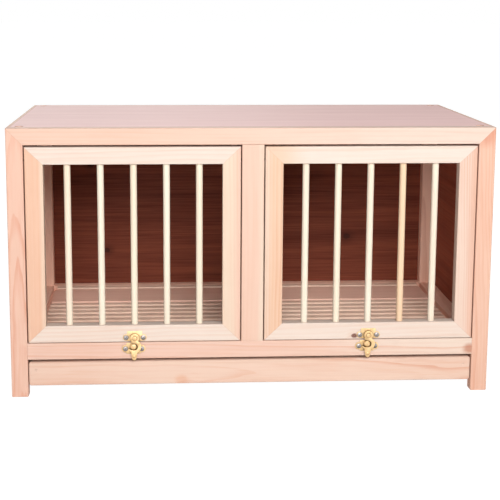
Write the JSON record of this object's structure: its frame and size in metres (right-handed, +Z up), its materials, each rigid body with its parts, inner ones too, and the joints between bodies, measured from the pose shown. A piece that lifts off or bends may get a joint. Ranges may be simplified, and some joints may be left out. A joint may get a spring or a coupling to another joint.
{
  "type": "pigeon aviary",
  "caption": "Free-standing pine pigeon cabinet with two top-pinned barred doors, swing-hook latches, a slatted floor and a sliding droppings drawer.",
  "frame": {"origin": "on the ground, at the centre of the cabinet's footprint", "axes": "+X along the front from left to right, +Y from the front to the back, +Z up"},
  "size_m": [0.8, 0.4066, 0.45],
  "materials": {
    "frame_pine": "planed bare pine, pinkish",
    "door_pine": "planed bare pine, a little paler",
    "bar_wood": "smooth bare dowel",
    "drawer_pine": "planed bare pine",
    "inner_pine": "planed bare pine inside the cabinet",
    "floor_pine": "planed bare pine slats",
    "roof_plywood": "bare plywood, pinkish grey",
    "side_plywood": "bare plywood",
    "back_plywood": "red-brown plywood inside face",
    "brass": "brass-plated pressed steel, satin",
    "steel": "zinc-plated screws and pins",
    "dark_steel": "dark blued screws"
  },
  "bodies": {
    "cabinet": {"back_panel": "back_plywood", "centre_pivot_pin": "steel", "centre_post": "frame_pine", "centre_roof_rail": "inner_pine", "divider_panel": "side_plywood", "door_stops": "inner_pine", "drawer_guides": "drawer_pine", "drawer_runners": "drawer_pine", "floor_bearers": "floor_pine", "floor_slats": "floor_pine", "front_bottom_rail": "frame_pine", "front_left_post": "frame_pine", "front_right_post": "frame_pine", "front_top_rail": "frame_pine", "left_bottom_side_rail": "inner_pine", "left_latch_keeper": "brass", "left_latch_keeper_screws": "steel", "left_side_panel": "side_plywood", "left_top_side_rail": "inner_pine", "outer_pivot_pins": "steel", "rear_bottom_rail": "inner_pine", "rear_centre_stud": "inner_pine", "rear_floor_board": "floor_pine", "rear_left_post": "inner_pine", "rear_right_post": "inner_pine", "rear_top_rail": "inner_pine", "right_bottom_side_rail": "inner_pine", "right_latch_keeper": "brass", "right_latch_keeper_screws": "steel", "right_side_panel": "side_plywood", "right_top_side_rail": "inner_pine", "roof_panel": "roof_plywood", "roof_screws": "dark_steel"},
    "left_door": {"left_door_bars": "bar_wood", "left_door_bottom_rail": "door_pine", "left_door_inner_stile": "door_pine", "left_door_outer_stile": "door_pine", "left_door_top_rail": "door_pine", "left_latch_plate": "brass", "left_latch_plate_screws": "steel"},
    "right_door": {"right_door_bars": "bar_wood", "right_door_bottom_rail": "door_pine", "right_door_inner_stile": "door_pine", "right_door_outer_stile": "door_pine", "right_door_top_rail": "door_pine", "right_latch_plate": "brass", "right_latch_plate_screws": "steel"},
    "left_hook": {"left_latch_hook": "brass"},
    "right_hook": {"right_latch_hook": "brass"},
    "drawer": {"drawer_back": "drawer_pine", "drawer_bottom": "side_plywood", "drawer_front": "drawer_pine", "drawer_left_side": "drawer_pine", "drawer_nails": "steel", "drawer_right_side": "drawer_pine"}
  },
  "joints": [
    {"name": "left_door_hinge", "type": "hinge", "parent": "cabinet", "child": "left_door", "pos_m": [-0.19537, -0.19025, 0.39714], "axis": [-1, 0, 0], "range_deg": [0, 130]},
    {"name": "left_latch_swing", "type": "hinge", "parent": "left_door", "child": "left_hook", "pos_m": [-0.19537, -0.204, 0.1002], "axis": [0, -1, 0], "range_deg": [0, 100]},
    {"name": "right_door_hinge", "type": "hinge", "parent": "cabinet", "child": "right_door", "pos_m": [0.19537, -0.19025, 0.39714], "axis": [-1, 0, 0], "range_deg": [0, 130]},
    {"name": "right_latch_swing", "type": "hinge", "parent": "right_door", "child": "right_hook", "pos_m": [0.19537, -0.204, 0.1002], "axis": [0, -1, 0], "range_deg": [0, 100]},
    {"name": "drawer_slide", "type": "slide", "parent": "cabinet", "child": "drawer", "axis": [0, -1, 0], "range_m": [0, 0.3]}
  ]
}
